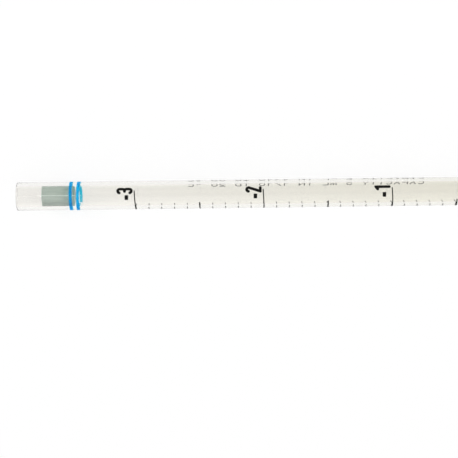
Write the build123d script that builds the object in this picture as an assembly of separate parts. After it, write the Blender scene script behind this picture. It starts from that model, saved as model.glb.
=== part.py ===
from build123d import *
import os
from math import cos, pi, radians, sin, tan

# Graduated pipette of clear polystyrene, 5 mL in steps of 0.1 mL, with a reserve scale of 3 mL above
# the zero line and a fibre plug in the mouth end. All sizes are millimetres, all angles degrees.
# The axis is X: the tip opens at X = 0 and the mouth end is at +X. Angles round the tube are
# right-handed about +X and start at +Z, the side that carries the numerals of the reserve scale.

# Tube
tube_diameter = 8.0
wall = 1.03
weld_groove = 0.08

# Tip, a piece of its own up to its weld with the barrel
tip_length = 30.0
tip_diameter = 2.5
tip_bore = 1.6
tip_straight = 12.0
tip_flare_angle = 15.3
bore_flare_angle = 13.5
flare_end = 28.2
flare_rounding = 3.0
tip_rounding = 0.12

# Mouth end, with the plug flush with the weld between mouthpiece and barrel
head_length = 33.28
mouthpiece_length = 16.3
mouth_rounding = 0.3
plug_length = 9.1
plug_recess = 7.15
plug_clearance = 0.02
plug_rounding = 0.15

# Scale, read as volume delivered, from the reserve at the mouth end down to the tip
top_reading = -3.0
last_reading = 4.5
capacity = 5
last_line_place = 36.64
lines_per_millilitre = 10
ink = 0.03

# Lines of the scale from zero down and of the reserve above zero, and the tilt of the reserve's print.
# Each kind has a width and the two angles that it runs between, round the back of the tube.
scale_lines = {
    "long": (0.40, -253.0, 37.0),
    "mid": (0.35, -211.0, -13.0),
    "short": (0.30, -160.0, -88.0),
}
reserve_lines = {
    "long": (0.30, -128.0, 17.5),
    "mid": (0.30, -128.0, -34.5),
    "short": (0.25, -128.0, -87.0),
}
reserve_tilt = 3.0

# Numerals: over all height and width, stroke, angle of the centre, and gap above the line
main_digit = dict(height=5.1, width=2.9, stroke=0.75, angle=-6.0, gap=1.1)
reserve_digit = dict(height=4.6, width=1.9, stroke=0.8, angle=16.0, gap=0.45)
rising_digit = dict(height=2.1, width=1.1, stroke=0.2, angle=27.0, gap=1.9)
minus_length = 1.35
minus_height = 1.0
minus_angle = -11.0

# Colour bands, measured from the mouth end
band_width = 0.85
upper_band_place = 15.32
lower_band_place = 17.42
band_seam_angle = 217.0
band_seam = 4.0

# Inscription along the tube, on the side away from the lines
inscription_text = "CAPACITY 5 mL IN 1/10 TD 20 °C"
letter = dict(height=2.5, width=1.75, stroke=0.3, angle=115.0)
letter_pitch = 2.25
inscription_gap = 14.5

# Sizes that follow
tube_radius = tube_diameter / 2
bore_radius = tube_radius - wall
millilitre_length = 1000 / (pi * bore_radius**2)


def place(reading):
    """Distance from the tip of the line that has this reading."""
    return last_line_place + (last_reading - reading) * millilitre_length


total_length = place(top_reading) + head_length
mouthpiece_start = total_length - mouthpiece_length


def around(angle):
    """Unit vector from the axis towards this angle, and the one along growing angles there."""
    a = radians(angle)
    return Vector(0, -sin(a), cos(a)), Vector(0, -cos(a), -sin(a))


def flare(start, end, angle):
    """Outline that leaves the axis' direction on an arc and goes on straight to its end."""
    a = radians(angle)
    run = end - start
    radius = (run.X * tan(a) - run.Y) * cos(a) / (1 - cos(a))
    bend = start + Vector(radius * sin(a), radius * (1 - cos(a)))
    return [JernArc(start, (1, 0), radius, angle), Line(bend, end)]


def grooved(face, x):
    """Outline with its outer corner at this weld chamfered, one half of the groove of the weld."""
    corner = [v for v in face.vertices() if abs(v.X - x) < ink and v.Y > bore_radius + ink]
    return chamfer(corner, weld_groove)


def sleeve_outline(start, end):
    """Section of plain tube wall between two places."""
    return Pos(start, bore_radius) * Rectangle(end - start, wall, align=Align.MIN)


def tip():
    """Drawn-out tip: a thin straight spout that flares to the tube's full diameter."""
    spout_radius = tip_diameter / 2
    bore_start = Vector(tip_straight, tip_bore / 2)
    bore_end = Vector(flare_end, bore_radius)
    outer_start = Vector(tip_straight, spout_radius)
    outer_end = Vector(flare_end, tube_radius)
    outline = flare(bore_start, bore_end, bore_flare_angle)
    outline += flare(outer_start, outer_end, tip_flare_angle)
    outline += [
        Line((0, tip_bore / 2), bore_start),
        Line(bore_end, (tip_length, bore_radius)),
        Line((tip_length, bore_radius), (tip_length, tube_radius)),
        Line((tip_length, tube_radius), outer_end),
        Line(outer_start, (0, spout_radius)),
        Line((0, spout_radius), (0, tip_bore / 2)),
    ]
    face = make_face(outline)
    shoulders = [v for v in face.vertices() if abs(v.X - flare_end) < ink]
    face = fillet(shoulders, flare_rounding)
    face = fillet(face.vertices().group_by(Axis.X)[0], tip_rounding)
    return revolve(Plane.XZ * grooved(face, tip_length), Axis.X)


def barrel():
    """Straight measuring tube between the two welds."""
    outline = sleeve_outline(tip_length, mouthpiece_start)
    outline = grooved(grooved(outline, tip_length), mouthpiece_start)
    return revolve(Plane.XZ * outline, Axis.X)


def mouthpiece():
    """Short tube with a rounded rim, which holds the plug and takes the pipette filler."""
    outline = grooved(sleeve_outline(mouthpiece_start, total_length), mouthpiece_start)
    outline = fillet(outline.vertices().group_by(Axis.X)[-1], mouth_rounding)
    return revolve(Plane.XZ * outline, Axis.X)


def filter_plug():
    """Fibre plug pushed into the mouthpiece."""
    plug = Rot(Y=90) * Cylinder(bore_radius - plug_clearance, plug_length)
    plug = fillet(plug.edges().filter_by(GeomType.CIRCLE), plug_rounding)
    return Pos(total_length - plug_recess - plug_length / 2) * plug


def ink_sector(start, end, first_angle, last_angle):
    """Patch of the ink layer on the tube between two places and two angles."""
    patch = Pos(start, tube_radius) * Rectangle(end - start, ink, align=Align.MIN)
    patch = Rot(X=first_angle) * (Plane.XZ * patch)
    return revolve(patch, Axis.X, revolution_arc=last_angle - first_angle)


def colour_band(distance, seam=0.0):
    """Ring of coloured ink this far from the mouth end, open at its seam if it has one."""
    start = total_length - distance - band_width / 2
    seam_end = band_seam_angle + seam / 2
    return ink_sector(start, start + band_width, seam_end, seam_end + 360 - seam)


def line(reading, tilt, width, first_angle, last_angle):
    """One line round the tube, tilted out of square with the axis by this much."""
    x = place(reading)
    sector = ink_sector(x - 2 * width, x + 2 * width, first_angle, last_angle)
    slab = Box(width, 3 * tube_diameter, 3 * tube_diameter)
    return sector & Pos(x) * Rot(Z=tilt) * slab


def kind_of(step):
    """Kind of the line that is this many steps from zero."""
    if step % lines_per_millilitre == 0:
        return "long"
    if step % lines_per_millilitre == lines_per_millilitre // 2:
        return "mid"
    return "short"


def lines(styles, kind, first_step, last_step, tilt):
    """All lines of one kind between two counts of steps from zero."""
    steps = [n for n in range(first_step, last_step + 1) if kind_of(n) == kind]
    return [line(n / lines_per_millilitre, tilt, *styles[kind]) for n in steps]


def line_nodes():
    """The lines of both scales, one node for each kind."""
    top_step = round(top_reading * lines_per_millilitre)
    last_step = round(last_reading * lines_per_millilitre)
    found = {}
    for kind in scale_lines:
        found[f"scale_{kind}_lines"] = lines(scale_lines, kind, 0, last_step, 0.0)
        found[f"reserve_{kind}_lines"] = lines(reserve_lines, kind, top_step, -1, reserve_tilt)
    return found


def polyline(*points):
    return [Line(a, b) for a, b in zip(points, points[1:])]


def bow(x, y, radius, start, sweep):
    return [CenterArc((x, y), radius, start, sweep)]


def digit_strokes(character, w, h):
    """Centre lines of a digit in a box of this width and height."""
    r = w / 2
    q = h / 4
    match character:
        case "0":
            sides = polyline((0, r), (0, h - r)) + polyline((w, r), (w, h - r))
            return sides + bow(r, r, r, 180, 180) + bow(r, h - r, r, 0, 180)
        case "1":
            return polyline((w * 0.2, h - r), (w * 0.8, h), (w * 0.8, 0))
        case "2":
            foot = Vector(r, h - r) + Vector(r, 0).rotate(Axis.Z, -35)
            return bow(r, h - r, r, 170, -205) + polyline(foot, (0, 0), (w, 0))
        case "3":
            r = min(r, 0.98 * q)
            x = w - r
            ends = bow(x, h - r, r, 0, 165) + bow(x, r, r, 0, -165)
            waist = bow(x, 2 * q + r, r, 0, -90) + bow(x, 2 * q - r, r, 0, 90)
            sides = polyline((w, h - r), (w, 2 * q + r)) + polyline((w, r), (w, 2 * q - r))
            return ends + waist + sides + polyline((w * 0.35, 2 * q), (x, 2 * q))
        case "4":
            return polyline((w * 0.72, 0), (w * 0.72, h), (0, h * 0.28), (w, h * 0.28))
        case "5":
            hip = Vector(r, r) + Vector(-r, 0).rotate(Axis.Z, -45)
            return polyline((w, h), (hip.X, h), hip) + bow(r, r, r, -160, 295)


def letter_strokes(character, w, h):
    """Centre lines of a letter or sign of the inscription."""
    r = w / 2
    match character:
        case "A":
            return polyline((0, 0), (r, h), (w, 0)) + polyline((w / 5, h / 3), (w * 0.8, h / 3))
        case "C":
            return bow(r, r, r, 180, 150) + bow(r, h - r, r, 30, 150) + polyline((0, r), (0, h - r))
        case "D":
            spine = polyline((r, 0), (0, 0), (0, h), (r, h)) + polyline((w, r), (w, h - r))
            return spine + bow(r, r, r, -90, 90) + bow(r, h - r, r, 0, 90)
        case "I":
            return polyline((r, 0), (r, h))
        case "L":
            return polyline((0, h), (0, 0), (w, 0))
        case "N":
            return polyline((0, 0), (0, h), (w, 0), (w, h))
        case "P":
            bowl = polyline((0, 0), (0, h), (w - h / 4, h)) + polyline((0, h / 2), (w - h / 4, h / 2))
            return bowl + bow(w - h / 4, h * 0.75, h / 4, -90, 180)
        case "T":
            return polyline((r, 0), (r, h)) + polyline((0, h), (w, h))
        case "Y":
            return polyline((0, h), (r, h / 2), (w, h)) + polyline((r, h / 2), (r, 0))
        case "m":
            legs = polyline((0, 0), (0, h * 0.6)) + polyline((r, 0), (r, h * 0.6 - r / 2))
            arches = bow(r / 2, h * 0.6 - r / 2, r / 2, 0, 180) + bow(r * 1.5, h * 0.6 - r / 2, r / 2, 0, 180)
            return legs + arches + polyline((w, 0), (w, h * 0.6 - r / 2))
        case "/":
            return polyline((0, 0), (w, h))
        case "°":
            return bow(r, h * 0.8, h * 0.2, 0, 180) + bow(r, h * 0.8, h * 0.2, 180, 180)
        case _:
            return digit_strokes(character, w, h)


def glyph(strokes, character, height, width, stroke):
    """Face of one character with round stroke ends, centred over its foot."""
    shape = Sketch()
    for edge in strokes(character, width - stroke, height - stroke):
        shape += SlotArc(edge, stroke)
    return Pos(-(width - stroke) / 2, stroke / 2) * shape


def printed(face, plane, start, end):
    """Ink that this face leaves on the tube between two places."""
    prism = extrude(plane * face, amount=tube_diameter)
    return prism & ink_sector(start, end, 0, 360)


def upright(x, angle):
    """Plane for a character that stands with its head towards the mouth end."""
    outward, along = around(angle)
    return Plane((x, 0, 0), x_dir=along, z_dir=outward)


def numeral(reading, value, style):
    """A whole number printed above the line of this reading."""
    foot = place(reading) + style["gap"]
    size = (style["height"], style["width"], style["stroke"])
    face = glyph(digit_strokes, str(value), *size)
    return printed(face, upright(foot, style["angle"]), foot, foot + style["height"])


def minus_sign(reading):
    """Short bar at the middle of a reserve numeral's height."""
    middle = place(reading) + reserve_digit["gap"] + reserve_digit["height"] / 2 - minus_height / 2
    bar = RectangleRounded(minus_length, minus_height, minus_height / 5)
    return printed(bar, upright(middle, minus_angle), middle - minus_height, middle + minus_height)


def scale_numerals():
    """Large numerals of the volume delivered."""
    return [numeral(n, n, main_digit) for n in range(capacity)]


def rising_numerals():
    """Small numerals of the volume taken up, beside the large ones."""
    return [numeral(n, capacity - n, rising_digit) for n in range(capacity)]


def reserve_numerals():
    """Numerals above the zero line, each with its minus sign."""
    readings = range(-round(-top_reading), 0)
    digits = [numeral(n, -n, reserve_digit) for n in readings]
    return digits + [minus_sign(n) for n in readings]


def inscription():
    """Capacity, step and calibration along the tube, read towards the mouth end."""
    outward, along = around(letter["angle"])
    size = (letter["height"], letter["width"], letter["stroke"])
    length = letter_pitch * len(inscription_text)
    start = place(top_reading) - inscription_gap - length
    marks = []
    for n, character in enumerate(inscription_text.replace(" ", "_")):
        if character == "_":
            continue
        x = start + letter_pitch * (n + 0.5)
        face = Pos(0, -letter["height"] / 2) * glyph(letter_strokes, character, *size)
        plane = Plane((x, 0, 0), x_dir=(1, 0, 0), z_dir=outward)
        marks.append(printed(face, plane, x - letter["width"], x + letter["width"]))
    return marks


def nodes():
    """Every piece of the pipette by name, as a list of its solids."""
    return {
        "tip": [tip()],
        "barrel": [barrel()],
        "mouthpiece": [mouthpiece()],
        "filter_plug": [filter_plug()],
        "colour_band_upper": [colour_band(upper_band_place)],
        "colour_band_lower": [colour_band(lower_band_place, band_seam)],
        **line_nodes(),
        "scale_numerals": scale_numerals(),
        "reserve_numerals": reserve_numerals(),
        "rising_numerals": rising_numerals(),
        "inscription": inscription(),
    }


os.makedirs("parts", exist_ok=True)
for name, pieces in nodes().items():
    solids = [solid for piece in pieces for solid in piece.solids()]
    export_step(Compound(solids), f"parts/{name}.step")
    print(name, len(solids), "solids")
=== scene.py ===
from math import acos, atan2, cos, hypot, pi, radians, sin, tan

import bmesh
import bpy
from mathutils import Matrix, Vector, noise


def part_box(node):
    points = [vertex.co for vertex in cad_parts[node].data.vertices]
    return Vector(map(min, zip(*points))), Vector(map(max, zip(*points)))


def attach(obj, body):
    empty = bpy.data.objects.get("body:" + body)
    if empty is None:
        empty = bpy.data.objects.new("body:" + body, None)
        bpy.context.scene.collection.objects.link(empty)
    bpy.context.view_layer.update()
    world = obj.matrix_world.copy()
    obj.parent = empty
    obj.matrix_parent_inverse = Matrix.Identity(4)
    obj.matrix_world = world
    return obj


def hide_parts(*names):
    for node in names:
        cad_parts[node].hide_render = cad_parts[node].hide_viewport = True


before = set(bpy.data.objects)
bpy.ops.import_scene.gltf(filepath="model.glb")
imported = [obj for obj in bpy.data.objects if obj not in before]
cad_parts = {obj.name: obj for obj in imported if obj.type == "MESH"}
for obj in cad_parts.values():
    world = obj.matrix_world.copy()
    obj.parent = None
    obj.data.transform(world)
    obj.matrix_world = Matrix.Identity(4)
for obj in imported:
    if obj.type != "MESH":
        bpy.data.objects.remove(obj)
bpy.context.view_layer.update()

MM = 0.001

# Sizes read from the frame
tube_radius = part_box("barrel")[1][2]
mouth_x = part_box("mouthpiece")[1][0]
mouth_weld_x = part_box("mouthpiece")[0][0]
tip_weld_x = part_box("tip")[1][0]
plug_low, plug_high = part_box("filter_plug")
ink_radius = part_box("colour_band_upper")[1][2]
ink_middle = (tube_radius + ink_radius) / 2

# Sizes of the clear body that the node boxes don't give
PLUG_CLEARANCE = 0.02 * MM
bore_radius = plug_high[2] + PLUG_CLEARANCE
SPOUT_RADIUS = 1.25 * MM
SPOUT_BORE = 0.8 * MM
SPOUT_LENGTH = 12.0 * MM
FLARE_END = 28.2 * MM
OUTER_FLARE = radians(15.3)
INNER_FLARE = radians(13.5)
SHOULDER_ROUNDING = 3.0 * MM
SPOUT_ROUNDING = 0.12 * MM
MOUTH_ROUNDING = 0.3 * MM
LATHE_STEPS = 256
LATHE_SHARP = radians(30)

# Print
INK_STEP = 0.42 * MM
INK_BURY = 0.004 * MM
INK_SHARP = radians(40)
INK_SAME_POINT = 1e-7
LINES_CUT = radians(-265)
NUMERALS_CUT = -pi
INSCRIPTION_CUT = 0.0
BAND_STEPS = 180
BAND_SAME_POINT = 1e-8
SEAM_ANGLE = radians(217)
SEAM_GAP = radians(4)
SEAM_SHIFT = 0.5 * MM

# Fibre plug
PLUG_SHRINK = 0.08 * MM
PLUG_RINGS = 60
PLUG_STEPS = 144
PLUG_END_RINGS = 6
PLUG_END_DEPTH = 1e-6
PLUG_RIM = 0.35 * MM
PLUG_RIM_INSET = 0.12 * MM
DENT_DEPTH = 0.05 * MM
DENT_LENGTH = 1.6 * MM
DENT_WIDTH = 0.5 * MM

# Clear polystyrene
POLYSTYRENE_IOR = 1.59
TINT_LOW = (0.985, 0.975, 0.95)
TINT_HIGH = (0.993, 0.983, 0.96)
# Painted shade: the tube's tint darkens from 10 mm to 120 mm away from the mouth end, for light
# that falls off along the tube
SHADE_AWAY_FROM_MOUTH_PAINTED = (0.945, 0.933, 0.878)
PAINTED_SHADE_START = 10 * MM
PAINTED_SHADE_END = 120 * MM
SHADOW_TINT = (0.97, 0.965, 0.95)
BULK_TONE = (0.5, 0.5, 0.5)
ABSORPTION = 40.0
RIM_WIDTH = 0.26 * MM
# Painted shade: the frosted mouth rim is also darkened, for the dark line that the rim's end face
# shows
RIM_PAINTED_SHADE = (0.7, 0.69, 0.67)
POLISHED = (0.02, 0.02, 0.02)
FROSTED = (0.3, 0.3, 0.3)
WAVE_GRAIN = dict(scale=300, stretch=(0.06, 1, 1))
WAVE_BUMP = dict(strength=0.05, distance=0.01 * MM)

# Ink and fibre
# Painted light: the ring's inner face is turquoise for light shining through the blue ink from
# behind; the outer face is the ink's own blue
RING_INSIDE_PAINTED_LIGHT = (0.05, 1.0, 0.95)
RING_OUTSIDE = (0.01, 0.08, 1.0)
RING_FILTER = (0.1, 0.88, 1.0)
RING_CLEARNESS = 0.68
RING_ROUGHNESS = 0.4
INK_DARK = (0.002, 0.002, 0.0015)
INK_LIGHT = (0.008, 0.0075, 0.006)
INK_ROUGHNESS = 0.6
INK_SPECULAR = 0.15
INK_GRAIN = dict(scale=2500, detail=3.0)
INK_BUMP = dict(strength=0.2, distance=0.01 * MM)
FIBRE_DARK = (0.37, 0.45, 0.41)
FIBRE_LIGHT = (0.47, 0.55, 0.51)
FIBRE_GRAIN = dict(scale=3000, stretch=(0.12, 1, 1), detail=4.0)
FIBRE_BUMP = dict(strength=0.5, distance=0.05 * MM)
MATT = 0.9

# Camera, above the mouth end and looking straight down
CAMERA_HEIGHT = 392 * MM
FOCAL_MM = 109.1
SENSOR_MM = 36.0
CLIP_NEAR = 0.01
CLIP_FAR = 20
VIEW_FROM_MOUTH = Vector((59.74, -9.15)) * MM
TUBE_SLOPE = 0.0125

# Table
TABLE_HALF_SIDE = 3.0
TABLE_CELLS = 4
TABLE_TONE = (0.18, 0.18, 0.18)
TABLE_GLOW = 0.84

# Light
SURROUND_PALE = (0.85, 0.85, 0.85)
SURROUND_DARK = (0.15, 0.15, 0.15)
SURROUND_STRETCH = (0.25, 1.0)
DARK_LEAN = radians(38)
LAMP_POWER = 6.5
LAMP_SIZE = (0.6, 0.9)
LAMP_SIDE = -0.5
LAMP_HEIGHT = 1.0
LAMP_PAST_MOUTH = 0.9
LAMP_PAST_TIP = 0.75
LAMP_AIM = 0.75
STRIP_CENTRE = Vector((532, -50, 1200)) * MM
STRIP_SIZE = (160 * MM, 120 * MM)
STRIP_POWER = 0.24


# ---------------------------------------------------------------- helpers


def link(data, name):
    """New object of this mesh, lamp or camera in the scene."""
    piece = bpy.data.objects.new(name, data)
    bpy.context.scene.collection.objects.link(piece)
    return piece


def settle(piece, slot, *nodes):
    """The piece rides on the pipette's only body and stands for these nodes."""
    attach(piece, "root")
    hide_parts(*nodes)
    return piece


def smooth_piece(bm, mesh_name, name, sharp=pi):
    """Smooth-shaded object of this mesh, with the edges that bend more left sharp."""
    bmesh.ops.recalc_face_normals(bm, faces=bm.faces)
    for face in bm.faces:
        face.smooth = True
    for edge in bm.edges:
        edge.smooth = edge.calc_face_angle(0) < sharp
    mesh = bpy.data.meshes.new(mesh_name)
    bm.to_mesh(mesh)
    bm.free()
    return link(mesh, name)


def around(x, angle, radius):
    """Point at this angle about the axis, counted right-handed about +X from +Z."""
    return Vector((x, -radius * sin(angle), radius * cos(angle)))


# ---------------------------------------------------------------- clear body


def arc_points(centre, radius, start, end, steps):
    """Points on an arc from one angle to another, both included."""
    turns = [start + (end - start) * n / steps for n in range(steps + 1)]
    return [(centre[0] + radius * cos(t), centre[1] + radius * sin(t)) for t in turns]


def flare_points(start, end, angle, steps=24):
    """Outline that leaves the axis' direction on an arc and goes on straight to its end."""
    run = end[0] - start[0]
    rise = end[1] - start[1]
    radius = (run * tan(angle) - rise) * cos(angle) / (1 - cos(angle))
    centre = (start[0], start[1] + radius)
    return arc_points(centre, radius, -pi / 2, angle - pi / 2, steps) + [end]


def eased(outline, index, radius, steps=6):
    """The outline with one of its corners replaced by an arc."""
    before, here, after = (Vector(point) for point in outline[index - 1:index + 2])
    back, on = (before - here).normalized(), (after - here).normalized()
    half = acos(max(-1, min(1, back.dot(on)))) / 2
    reach = radius / tan(half)
    middle = here + (back + on).normalized() * radius / sin(half)
    first, last = here + back * reach - middle, here + on * reach - middle
    start = atan2(first.y, first.x)
    turn = atan2(first.cross(last), first.dot(last))
    bend = arc_points(middle, radius, start, start + turn, steps)
    return outline[:index] + bend + outline[index + 1:]


def wall_side(spout, body, flare):
    """One side of the wall in section, from the spout's end to the mouth."""
    points = [(0, spout)]
    points += flare_points((SPOUT_LENGTH, spout), (FLARE_END, body), flare)
    points.append((tip_weld_x, body))
    points = eased(points, len(points) - 2, SHOULDER_ROUNDING)
    return points + [(mouth_weld_x, body), (mouth_x, body)]


def clear_body():
    """Tip, barrel and mouthpiece as the one clear wall that they are once welded."""
    bore = wall_side(SPOUT_BORE, bore_radius, INNER_FLARE)
    outline = bore + wall_side(SPOUT_RADIUS, tube_radius, OUTER_FLARE)[::-1]
    mouth_corner = len(bore)
    outline = eased(outline, mouth_corner, MOUTH_ROUNDING)
    outline = eased(outline, mouth_corner - 1, MOUTH_ROUNDING)
    # The last point comes to the front each time, which puts a spout corner second
    for _ in range(2):
        outline = eased(outline[-1:] + outline[:-1], 1, SPOUT_ROUNDING, 3)
    bm = bmesh.new()
    rings = []
    for k in range(LATHE_STEPS):
        angle = 2 * pi * k / LATHE_STEPS
        rings.append([bm.verts.new(around(x, angle, r)) for x, r in outline])
    for k, ring in enumerate(rings):
        after = rings[(k + 1) % LATHE_STEPS]
        for j in range(len(outline)):
            i = (j + 1) % len(outline)
            bm.faces.new((ring[j], ring[i], after[i], after[j]))
    piece = smooth_piece(bm, "clear_body", "clear_body", LATHE_SHARP)
    return settle(piece, "clear_polystyrene", "tip", "barrel", "mouthpiece")


# ---------------------------------------------------------------- print


def unrolled(co, cut):
    """(x, angle, radius) of a point, with the angle counted on from the cut."""
    angle = atan2(-co.y, co.z)
    return Vector((co.x, (angle - cut) % (2 * pi) + cut, hypot(co.y, co.z)))


def ink_piece(name, cut):
    """A printed node with its faces bent to the tube's true curve instead of flat facets."""
    bm = bmesh.new()
    bm.from_mesh(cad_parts[name].data)
    bmesh.ops.remove_doubles(bm, verts=bm.verts, dist=INK_SAME_POINT)
    for vert in bm.verts:
        flat = unrolled(vert.co, cut)
        vert.co = Vector((flat.x, flat.y * ink_middle, flat.z))
    low = min(v.co.y for v in bm.verts)
    high = max(v.co.y for v in bm.verts)
    for n in range(1, int((high - low) / INK_STEP) + 1):
        everything = bm.verts[:] + bm.edges[:] + bm.faces[:]
        place = (0, low + n * INK_STEP, 0)
        bmesh.ops.bisect_plane(bm, geom=everything, plane_co=place, plane_no=(0, 1, 0))
    for vert in bm.verts:
        outer = vert.co.z > ink_middle
        radius = ink_radius if outer else tube_radius - INK_BURY
        vert.co = around(vert.co.x, vert.co.y / ink_middle, radius)
    return settle(smooth_piece(bm, name, name + "_print", INK_SHARP), "black_ink", name)


def band_piece(name, seam=0.0, shift=0.0):
    """Printed ring, open at its seam, where its ends miss each other by the shift."""
    low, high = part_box(name)
    inner = tube_radius - INK_BURY
    bm = bmesh.new()
    rings = []
    for n in range(BAND_STEPS + 1):
        turn = n / BAND_STEPS
        angle = SEAM_ANGLE + seam / 2 + (2 * pi - seam) * turn
        slip = shift * (0.5 - turn)
        start, end = low[0] + slip, high[0] + slip
        corners = ((start, inner), (end, inner), (end, ink_radius), (start, ink_radius))
        rings.append([bm.verts.new(around(x, angle, r)) for x, r in corners])
    for ring, after in zip(rings, rings[1:]):
        for j in range(4):
            bm.faces.new((ring[j], ring[j - 1], after[j - 1], after[j]))
    bm.faces.new(rings[0])
    bm.faces.new(rings[-1])
    bmesh.ops.remove_doubles(bm, verts=bm.verts, dist=BAND_SAME_POINT)
    return settle(smooth_piece(bm, name, name + "_print", INK_SHARP), "blue_ink", name)


# ---------------------------------------------------------------- plug


def plug_outline():
    """Points (x, radius) from the inner end's middle round to the outer end's, soft at the rims."""
    low, high = plug_low[0], plug_high[0]
    radius = plug_high[2] - PLUG_SHRINK
    share = radius / PLUG_END_RINGS
    outline = [(low, share * k) for k in range(1, PLUG_END_RINGS)]
    for n in range(PLUG_RINGS + 1):
        x = low + (high - low) * n / PLUG_RINGS
        inset = max(0.0, PLUG_RIM - min(x - low, high - x)) / PLUG_RIM
        outline.append((x, radius - PLUG_RIM_INSET * inset**2))
    return outline + [(high, share * k) for k in range(PLUG_END_RINGS - 1, 0, -1)]


def dented(x, angle, radius):
    """Point of the plug's skin, pressed in by the fibres' unevenness."""
    low, high = plug_low[0], plug_high[0]
    point = around(x, angle, radius)
    grain_place = Vector((x / DENT_LENGTH, point.y / DENT_WIDTH, point.z / DENT_WIDTH))
    depth = DENT_DEPTH * (0.5 + 0.5 * noise.noise(grain_place))
    if min(x - low, high - x) < PLUG_END_DEPTH:
        inward = depth if x < (low + high) / 2 else -depth
        return point + 2 * Vector((inward, 0, 0))
    return point - around(0, angle, depth)


def plug_piece():
    """Fibre plug: a cylinder with an uneven, fibrous skin and soft rims."""
    outline = plug_outline()
    bm = bmesh.new()
    rings = []
    for k in range(PLUG_STEPS):
        angle = 2 * pi * k / PLUG_STEPS
        rings.append([bm.verts.new(dented(x, angle, r)) for x, r in outline])
    for k, ring in enumerate(rings):
        after = rings[(k + 1) % PLUG_STEPS]
        for j in range(len(outline) - 1):
            bm.faces.new((ring[j], ring[j + 1], after[j + 1], after[j]))
    bm.faces.new([ring[0] for ring in rings])
    bm.faces.new([ring[-1] for ring in rings])
    piece = smooth_piece(bm, "filter_plug", "filter_plug_fibre")
    return settle(piece, "plug_fibre", "filter_plug")


# ---------------------------------------------------------------- materials


def new_material(name):
    """Empty node material and its tree."""
    material = bpy.data.materials.new(name)
    material.use_nodes = True
    material.node_tree.nodes.clear()
    return material, material.node_tree


def node(tree, kind, **values):
    """New node with its input sockets set by name, underscores standing for spaces."""
    made = tree.nodes.new(kind)
    for key, value in values.items():
        made.inputs[key.replace("_", " ")].default_value = value
    return made


def vector_math(tree, operation, source, other=(0, 0, 0)):
    """Vector operation on a source socket and a constant."""
    made = tree.nodes.new("ShaderNodeVectorMath")
    made.operation = operation
    made.inputs[1].default_value = other
    tree.links.new(source, made.inputs[0])
    return made


def object_place(tree):
    """Place on the pipette in its own axes."""
    return tree.nodes.new("ShaderNodeTexCoord").outputs["Object"]


def grain(tree, scale, stretch=(1, 1, 1), detail=2.0):
    """Noise on the pipette, stretched along its axes."""
    mapping = node(tree, "ShaderNodeMapping", Scale=stretch)
    texture = node(tree, "ShaderNodeTexNoise", Scale=scale, Detail=detail)
    tree.links.new(object_place(tree), mapping.inputs["Vector"])
    tree.links.new(mapping.outputs[0], texture.inputs["Vector"])
    return texture.outputs["Fac"]


def ramp(tree, source, stretch, first, second):
    """Colour ramp between two colours over a stretch of the source's values."""
    made = tree.nodes.new("ShaderNodeValToRGB")
    for k, colour in enumerate((first, second)):
        made.color_ramp.elements[k].position = stretch[k]
        made.color_ramp.elements[k].color = (*colour, 1)
    tree.links.new(source, made.inputs[0])
    return made


def ranged(tree, source, start, end):
    """0 to 1 between two of the source's values, and flat beyond them."""
    made = node(tree, "ShaderNodeMapRange", From_Min=start, From_Max=end)
    tree.links.new(source, made.inputs["Value"])
    return made.outputs[0]


def along_axis(tree, start, end):
    """0 to 1 between two places along the pipette's axis."""
    split = tree.nodes.new("ShaderNodeSeparateXYZ")
    tree.links.new(object_place(tree), split.inputs[0])
    return ranged(tree, split.outputs["X"], start, end)


def from_axis(tree, start, end):
    """0 to 1 between two distances from the pipette's axis."""
    across = vector_math(tree, "MULTIPLY", object_place(tree), (0, 1, 1))
    length = vector_math(tree, "LENGTH", across.outputs[0])
    return ranged(tree, length.outputs["Value"], start, end)


def blend_colours(tree, factor, first, second):
    """Mix of a colour socket and a constant colour."""
    made = tree.nodes.new("ShaderNodeMix")
    made.data_type = "RGBA"
    sockets = {s.name: s for s in made.inputs if s.type == "RGBA"}
    tree.links.new(factor, made.inputs["Factor"])
    tree.links.new(first, sockets["A"])
    sockets["B"].default_value = (*second, 1)
    return next(s for s in made.outputs if s.type == "RGBA")


def blend_shaders(tree, first, second):
    """Mix of two shaders, with its factor left to be set."""
    made = tree.nodes.new("ShaderNodeMixShader")
    tree.links.new(first.outputs[0], made.inputs[1])
    tree.links.new(second.outputs[0], made.inputs[2])
    return made


def colour_by(tree, shader, source):
    """Base colour of the shader from a socket."""
    tree.links.new(source, shader.inputs["Base Color"])


def emboss(tree, shader, source, strength, distance):
    """Relief on the shader from a texture's values."""
    relief = node(tree, "ShaderNodeBump", Strength=strength, Distance=distance)
    tree.links.new(source, relief.inputs["Height"])
    tree.links.new(relief.outputs[0], shader.inputs["Normal"])


def surface(tree, shader):
    """Material output fed by this shader."""
    out = tree.nodes.new("ShaderNodeOutputMaterial")
    tree.links.new(shader.outputs[0], out.inputs["Surface"])
    return out


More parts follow.
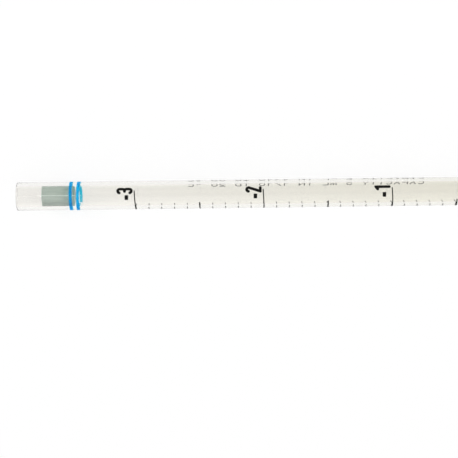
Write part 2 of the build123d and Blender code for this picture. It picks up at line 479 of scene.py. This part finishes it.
def clear_polystyrene():
    """Clear plastic, faintly tinted, wavy as a drawn tube is, with painted shade that darkens it
    away from the mouth end, and a sawn, frosted mouth rim darkened with painted shade.
    """
    material, tree = new_material("clear_polystyrene")
    shader = node(
        tree, "ShaderNodeBsdfPrincipled", IOR=POLYSTYRENE_IOR, Transmission_Weight=1.0
    )
    wave = grain(tree, **WAVE_GRAIN)
    tint = ramp(tree, wave, (0.35, 0.65), TINT_LOW, TINT_HIGH)
    # Painted shade: the tube's colour darkens further from the mouth end
    painted_shade_along = along_axis(tree, mouth_x - PAINTED_SHADE_START, mouth_x - PAINTED_SHADE_END)
    rim = along_axis(tree, mouth_x - RIM_WIDTH, mouth_x - RIM_WIDTH / 2)
    tint_and_painted_shade = blend_colours(tree, painted_shade_along, tint.outputs[0], SHADE_AWAY_FROM_MOUTH_PAINTED)
    # The rim's frosting is its roughness; its darker colour is painted shade
    colour_by(tree, shader, blend_colours(tree, rim, tint_and_painted_shade, RIM_PAINTED_SHADE))
    rough = ramp(tree, rim, (0.0, 1.0), POLISHED, FROSTED)
    tree.links.new(rough.outputs[0], shader.inputs["Roughness"])
    emboss(tree, shader, wave, **WAVE_BUMP)
    shadow = node(tree, "ShaderNodeBsdfTransparent", Color=(*SHADOW_TINT, 1))
    mix = blend_shaders(tree, shader, shadow)
    path = tree.nodes.new("ShaderNodeLightPath")
    tree.links.new(path.outputs["Is Shadow Ray"], mix.inputs[0])
    out = surface(tree, mix)
    bulk = node(
        tree, "ShaderNodeVolumeAbsorption", Color=(*BULK_TONE, 1), Density=ABSORPTION
    )
    tree.links.new(bulk.outputs[0], out.inputs["Volume"])
    return material


def ring_material():
    """Thin blue ink that filters what is behind it, its inner face painted turquoise for the light
    that shines through it from behind.
    """
    material, tree = new_material("blue_ink")
    shader = node(tree, "ShaderNodeBsdfPrincipled", Roughness=RING_ROUGHNESS)
    layer = from_axis(tree, tube_radius, ink_radius)
    # Painted light: turquoise on the ring's inner face, the ink's own blue on its outer face
    colour_by(tree, shader, ramp(tree, layer, (0.2, 0.6), RING_INSIDE_PAINTED_LIGHT, RING_OUTSIDE).outputs[0])
    emboss(tree, shader, grain(tree, **INK_GRAIN), **INK_BUMP)
    behind = node(tree, "ShaderNodeBsdfTransparent", Color=(*RING_FILTER, 1))
    mix = blend_shaders(tree, shader, behind)
    mix.inputs[0].default_value = RING_CLEARNESS
    surface(tree, mix)
    return material


def ink_material():
    """Black printed ink, a little uneven in density."""
    material, tree = new_material("black_ink")
    shader = node(
        tree,
        "ShaderNodeBsdfPrincipled",
        Roughness=INK_ROUGHNESS,
        Specular_IOR_Level=INK_SPECULAR,
    )
    density = grain(tree, **INK_GRAIN)
    colour_by(tree, shader, ramp(tree, density, (0.35, 0.7), INK_DARK, INK_LIGHT).outputs[0])
    emboss(tree, shader, density, **INK_BUMP)
    surface(tree, shader)
    return material


def plug_material():
    """Grey-green fibre, streaked along the axis."""
    material, tree = new_material("plug_fibre")
    shader = node(tree, "ShaderNodeBsdfPrincipled", Roughness=MATT)
    fibre = grain(tree, **FIBRE_GRAIN)
    colour_by(tree, shader, ramp(tree, fibre, (0.3, 0.7), FIBRE_DARK, FIBRE_LIGHT).outputs[0])
    emboss(tree, shader, fibre, **FIBRE_BUMP)
    surface(tree, shader)
    return material


def table_material():
    """Plain white that glows evenly."""
    material, tree = new_material("table_white")
    shader = node(
        tree,
        "ShaderNodeBsdfPrincipled",
        Roughness=MATT,
        Base_Color=(*TABLE_TONE, 1),
        Specular_IOR_Level=0.0,
        Emission_Color=(1, 1, 1, 1),
        Emission_Strength=TABLE_GLOW,
    )
    surface(tree, shader)
    return material


def paint(piece, material):
    """The piece's only material."""
    piece.data.materials.clear()
    piece.data.materials.append(material)


# ---------------------------------------------------------------- stage


def table():
    """Light table that the pipette lies on, lit from within so that shadows are faint."""
    bm = bmesh.new()
    bmesh.ops.create_grid(
        bm, x_segments=TABLE_CELLS, y_segments=TABLE_CELLS, size=TABLE_HALF_SIDE
    )
    mesh = bpy.data.meshes.new("table")
    bm.to_mesh(mesh)
    bm.free()
    piece = link(mesh, "table")
    piece.location = (mouth_x / 2, 0, -ink_radius)
    paint(piece, table_material())


def area_light(name, position, target, size, power):
    """Rectangular white lamp that faces a point."""
    lamp = bpy.data.lights.new(name, "AREA")
    lamp.shape = "RECTANGLE"
    lamp.size, lamp.size_y = size
    lamp.energy = power
    holder = link(lamp, name)
    holder.location = position
    facing = Vector(target) - Vector(position)
    holder.rotation_euler = facing.to_track_quat("-Z", "Y").to_euler()


def surround():
    """Soft light from all round, darker overhead."""
    world = bpy.data.worlds.new("surround")
    bpy.context.scene.world = world
    world.use_nodes = True
    tree = world.node_tree
    way = tree.nodes.new("ShaderNodeTexCoord").outputs["Generated"]
    overhead = Vector((0, -sin(DARK_LEAN), cos(DARK_LEAN)))
    nearness = vector_math(tree, "DOT_PRODUCT", way, overhead).outputs["Value"]
    tone = ramp(tree, nearness, SURROUND_STRETCH, SURROUND_PALE, SURROUND_DARK)
    tone.color_ramp.interpolation = "EASE"
    background = tree.nodes["Background"]
    tree.links.new(tone.outputs[0], background.inputs["Color"])
    background.inputs["Strength"].default_value = 1.0


def lamps():
    """Two broad lamps beyond the tube's ends, and one that the mouth end mirrors as a thin line."""
    aim = (mouth_x * LAMP_AIM, 0, 0)
    mouth_side = (mouth_x + LAMP_PAST_MOUTH, LAMP_SIDE, LAMP_HEIGHT)
    tip_side = (-LAMP_PAST_TIP, LAMP_SIDE, LAMP_HEIGHT)
    area_light("lamp_mouth_side", mouth_side, aim, LAMP_SIZE, LAMP_POWER)
    area_light("lamp_tip_side", tip_side, aim, LAMP_SIZE, LAMP_POWER)
    below = STRIP_CENTRE - Vector((0, 0, 1))
    area_light("strip_over_mouth", STRIP_CENTRE, below, STRIP_SIZE, STRIP_POWER)


def camera():
    """Looks straight down at the mouth end, with the tube nearly level in the view."""
    lens = bpy.data.cameras.new("camera")
    lens.lens = FOCAL_MM
    lens.sensor_width = SENSOR_MM
    lens.clip_start = CLIP_NEAR
    lens.clip_end = CLIP_FAR
    holder = link(lens, "camera")
    lean = atan2(TUBE_SLOPE, 1)
    right = Vector((-cos(lean), sin(lean), 0))
    up = Vector((-sin(lean), -cos(lean), 0))
    centre = Vector((mouth_x, 0, 0)) + right * VIEW_FROM_MOUTH.x + up * VIEW_FROM_MOUTH.y
    turn = Matrix((right, up, right.cross(up))).transposed()
    place = Matrix.Translation(centre + Vector((0, 0, CAMERA_HEIGHT)))
    holder.matrix_world = place @ turn.to_4x4()
    bpy.context.scene.camera = holder


# ---------------------------------------------------------------- assembly

paint(clear_body(), clear_polystyrene())
paint(plug_piece(), plug_material())

black = ink_material()
blue = ring_material()
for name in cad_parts:
    if name.endswith("_lines"):
        paint(ink_piece(name, LINES_CUT), black)
    elif name.endswith("_numerals"):
        paint(ink_piece(name, NUMERALS_CUT), black)
paint(ink_piece("inscription", INSCRIPTION_CUT), black)
paint(band_piece("colour_band_upper"), blue)
paint(band_piece("colour_band_lower", SEAM_GAP, SEAM_SHIFT), blue)

table()
surround()
lamps()
camera()
bpy.context.scene.view_settings.view_transform = "Standard"
